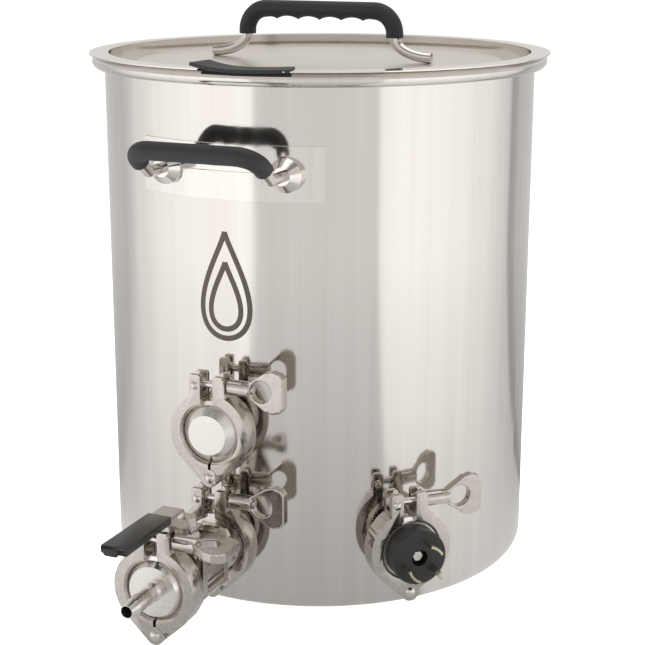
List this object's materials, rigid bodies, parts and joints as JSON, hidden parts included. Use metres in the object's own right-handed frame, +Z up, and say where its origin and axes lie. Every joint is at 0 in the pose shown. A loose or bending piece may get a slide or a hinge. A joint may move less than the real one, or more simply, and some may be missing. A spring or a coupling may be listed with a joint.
{
  "type": "brew kettle",
  "caption": "Steel brew kettle with lift-off lid, side handles, capped port, lever ball valve with hose barb and a clamped immersion heating element.",
  "frame": {"origin": "centre of the flat base, where the kettle's axis meets the floor", "axes": "+Z up along the kettle's axis; -Y out of the drain valve; +X to the right of someone facing the valve"},
  "size_m": [0.3803, 0.5882, 0.4647],
  "materials": {
    "polished_steel": "polished with faint upright draw lines",
    "satin_steel": "satin centre, polished rim",
    "turned_steel": "lathe turned",
    "cast_steel": "investment cast and tumbled",
    "heater_steel": "drawn tube",
    "black_silicone": "matt moulded",
    "black_vinyl": "dipped, glossy",
    "black_plastic": "moulded nylon",
    "brass_blades": "stamped and plated",
    "gasket_silicone": "moulded",
    "seat_ptfe": "turned PTFE"
  },
  "bodies": {
    "kettle": {"kettle_shell": "polished_steel", "port_ferrules": "polished_steel", "front_handle_plate": "polished_steel", "front_handle_rod": "cast_steel", "front_handle_grip": "black_silicone", "rear_handle_plate": "polished_steel", "rear_handle_rod": "cast_steel", "rear_handle_grip": "black_silicone", "flange_gaskets": "gasket_silicone", "end_cap": "turned_steel", "valve_inlet_end": "cast_steel", "valve_middle_body": "cast_steel", "valve_outlet_end": "cast_steel", "valve_seats": "seat_ptfe", "stem_packing_nut": "cast_steel", "body_bolts": "cast_steel", "body_nuts": "cast_steel", "barb_flange": "turned_steel", "hose_barb": "turned_steel", "element_flange": "turned_steel", "heating_tube": "heater_steel", "plug_insulator": "black_plastic", "contact_blades": "brass_blades", "plug_nut": "cast_steel", "cap_clamp_fixed_half": "cast_steel", "cap_clamp_pins": "cast_steel", "drain_clamp_fixed_half": "cast_steel", "drain_clamp_pins": "cast_steel", "outlet_clamp_fixed_half": "cast_steel", "outlet_clamp_pins": "cast_steel", "element_clamp_fixed_half": "cast_steel", "element_clamp_pins": "cast_steel"},
    "lid": {"lid_shell": "satin_steel", "lid_handle_rod": "cast_steel", "lid_handle_grip": "black_silicone"},
    "notch_plug": {"notch_plug": "black_silicone"},
    "valve_lever": {"valve_lever": "cast_steel", "lever_sleeve": "black_vinyl", "stem_nut": "cast_steel", "valve_stem": "cast_steel", "valve_ball": "cast_steel"},
    "cap_clamp_opening_half": {"cap_clamp_opening_half": "cast_steel"},
    "cap_clamp_swing_bolt": {"cap_clamp_swing_bolt": "cast_steel"},
    "cap_clamp_wing_nut": {"cap_clamp_wing_nut": "cast_steel"},
    "drain_clamp_opening_half": {"drain_clamp_opening_half": "cast_steel"},
    "drain_clamp_swing_bolt": {"drain_clamp_swing_bolt": "cast_steel"},
    "drain_clamp_wing_nut": {"drain_clamp_wing_nut": "cast_steel"},
    "outlet_clamp_opening_half": {"outlet_clamp_opening_half": "cast_steel"},
    "outlet_clamp_swing_bolt": {"outlet_clamp_swing_bolt": "cast_steel"},
    "outlet_clamp_wing_nut": {"outlet_clamp_wing_nut": "cast_steel"},
    "element_clamp_opening_half": {"element_clamp_opening_half": "cast_steel"},
    "element_clamp_swing_bolt": {"element_clamp_swing_bolt": "cast_steel"},
    "element_clamp_wing_nut": {"element_clamp_wing_nut": "cast_steel"}
  },
  "joints": [
    {"name": "lid_lift", "type": "slide", "parent": "kettle", "child": "lid", "axis": [0, 0, 1], "range_m": [0, 0.12]},
    {"name": "notch_plug_pull", "type": "slide", "parent": "lid", "child": "notch_plug", "axis": [0, 0, 1], "range_m": [0, 0.04]},
    {"name": "valve_lever_turn", "type": "hinge", "parent": "kettle", "child": "valve_lever", "pos_m": [0, -0.24605, 0.062], "axis": [0, 0, 1], "range_deg": [-90, 0]},
    {"name": "cap_clamp_bolt_swing", "type": "hinge", "parent": "kettle", "child": "cap_clamp_swing_bolt", "pos_m": [-0.0115, -0.2016, 0.1903], "axis": [0, -1, 0], "range_deg": [0, 100]},
    {"name": "cap_clamp_nut_travel", "type": "slide", "parent": "cap_clamp_swing_bolt", "child": "cap_clamp_wing_nut", "axis": [1, 0, 0], "range_m": [0, 0.012]},
    {"name": "cap_clamp_open", "type": "hinge", "parent": "kettle", "child": "cap_clamp_opening_half", "pos_m": [0, -0.2016, 0.1175], "axis": [0, -1, 0], "range_deg": [-8.6, 0]},
    {"name": "drain_clamp_bolt_swing", "type": "hinge", "parent": "kettle", "child": "drain_clamp_swing_bolt", "pos_m": [-0.0115, -0.2016, 0.0993], "axis": [0, -1, 0], "range_deg": [0, 25]},
    {"name": "drain_clamp_nut_travel", "type": "slide", "parent": "drain_clamp_swing_bolt", "child": "drain_clamp_wing_nut", "axis": [1, 0, 0], "range_m": [0, 0.012]},
    {"name": "drain_clamp_open", "type": "hinge", "parent": "kettle", "child": "drain_clamp_opening_half", "pos_m": [0, -0.2016, 0.0265], "axis": [0, -1, 0], "range_deg": [-8.6, 0]},
    {"name": "outlet_clamp_bolt_swing", "type": "hinge", "parent": "kettle", "child": "outlet_clamp_swing_bolt", "pos_m": [-0.0115, -0.2905, 0.0993], "axis": [0, -1, 0], "range_deg": [0, 14]},
    {"name": "outlet_clamp_nut_travel", "type": "slide", "parent": "outlet_clamp_swing_bolt", "child": "outlet_clamp_wing_nut", "axis": [1, 0, 0], "range_m": [0, 0.012]},
    {"name": "outlet_clamp_open", "type": "hinge", "parent": "kettle", "child": "outlet_clamp_opening_half", "pos_m": [0, -0.2905, 0.0265], "axis": [0, -1, 0], "range_deg": [-8.6, 0]},
    {"name": "element_clamp_bolt_swing", "type": "hinge", "parent": "kettle", "child": "element_clamp_swing_bolt", "pos_m": [0.12989, -0.15461, 0.0988], "axis": [0.6858, -0.7278, 0], "range_deg": [0, 100]},
    {"name": "element_clamp_nut_travel", "type": "slide", "parent": "element_clamp_swing_bolt", "child": "element_clamp_wing_nut", "axis": [0.7278, 0.6858, 0], "range_m": [0, 0.012]},
    {"name": "element_clamp_open", "type": "hinge", "parent": "kettle", "child": "element_clamp_opening_half", "pos_m": [0.13826, -0.14672, 0.026], "axis": [0.6858, -0.7278, 0], "range_deg": [-8.6, 0]}
  ],
  "couplings": [
    {"joint": "cap_clamp_open", "follows": "cap_clamp_nut_travel", "rad_per_m": -12.363},
    {"joint": "drain_clamp_open", "follows": "drain_clamp_nut_travel", "rad_per_m": -12.363},
    {"joint": "outlet_clamp_open", "follows": "outlet_clamp_nut_travel", "rad_per_m": -12.363},
    {"joint": "element_clamp_open", "follows": "element_clamp_nut_travel", "rad_per_m": -12.363}
  ]
}
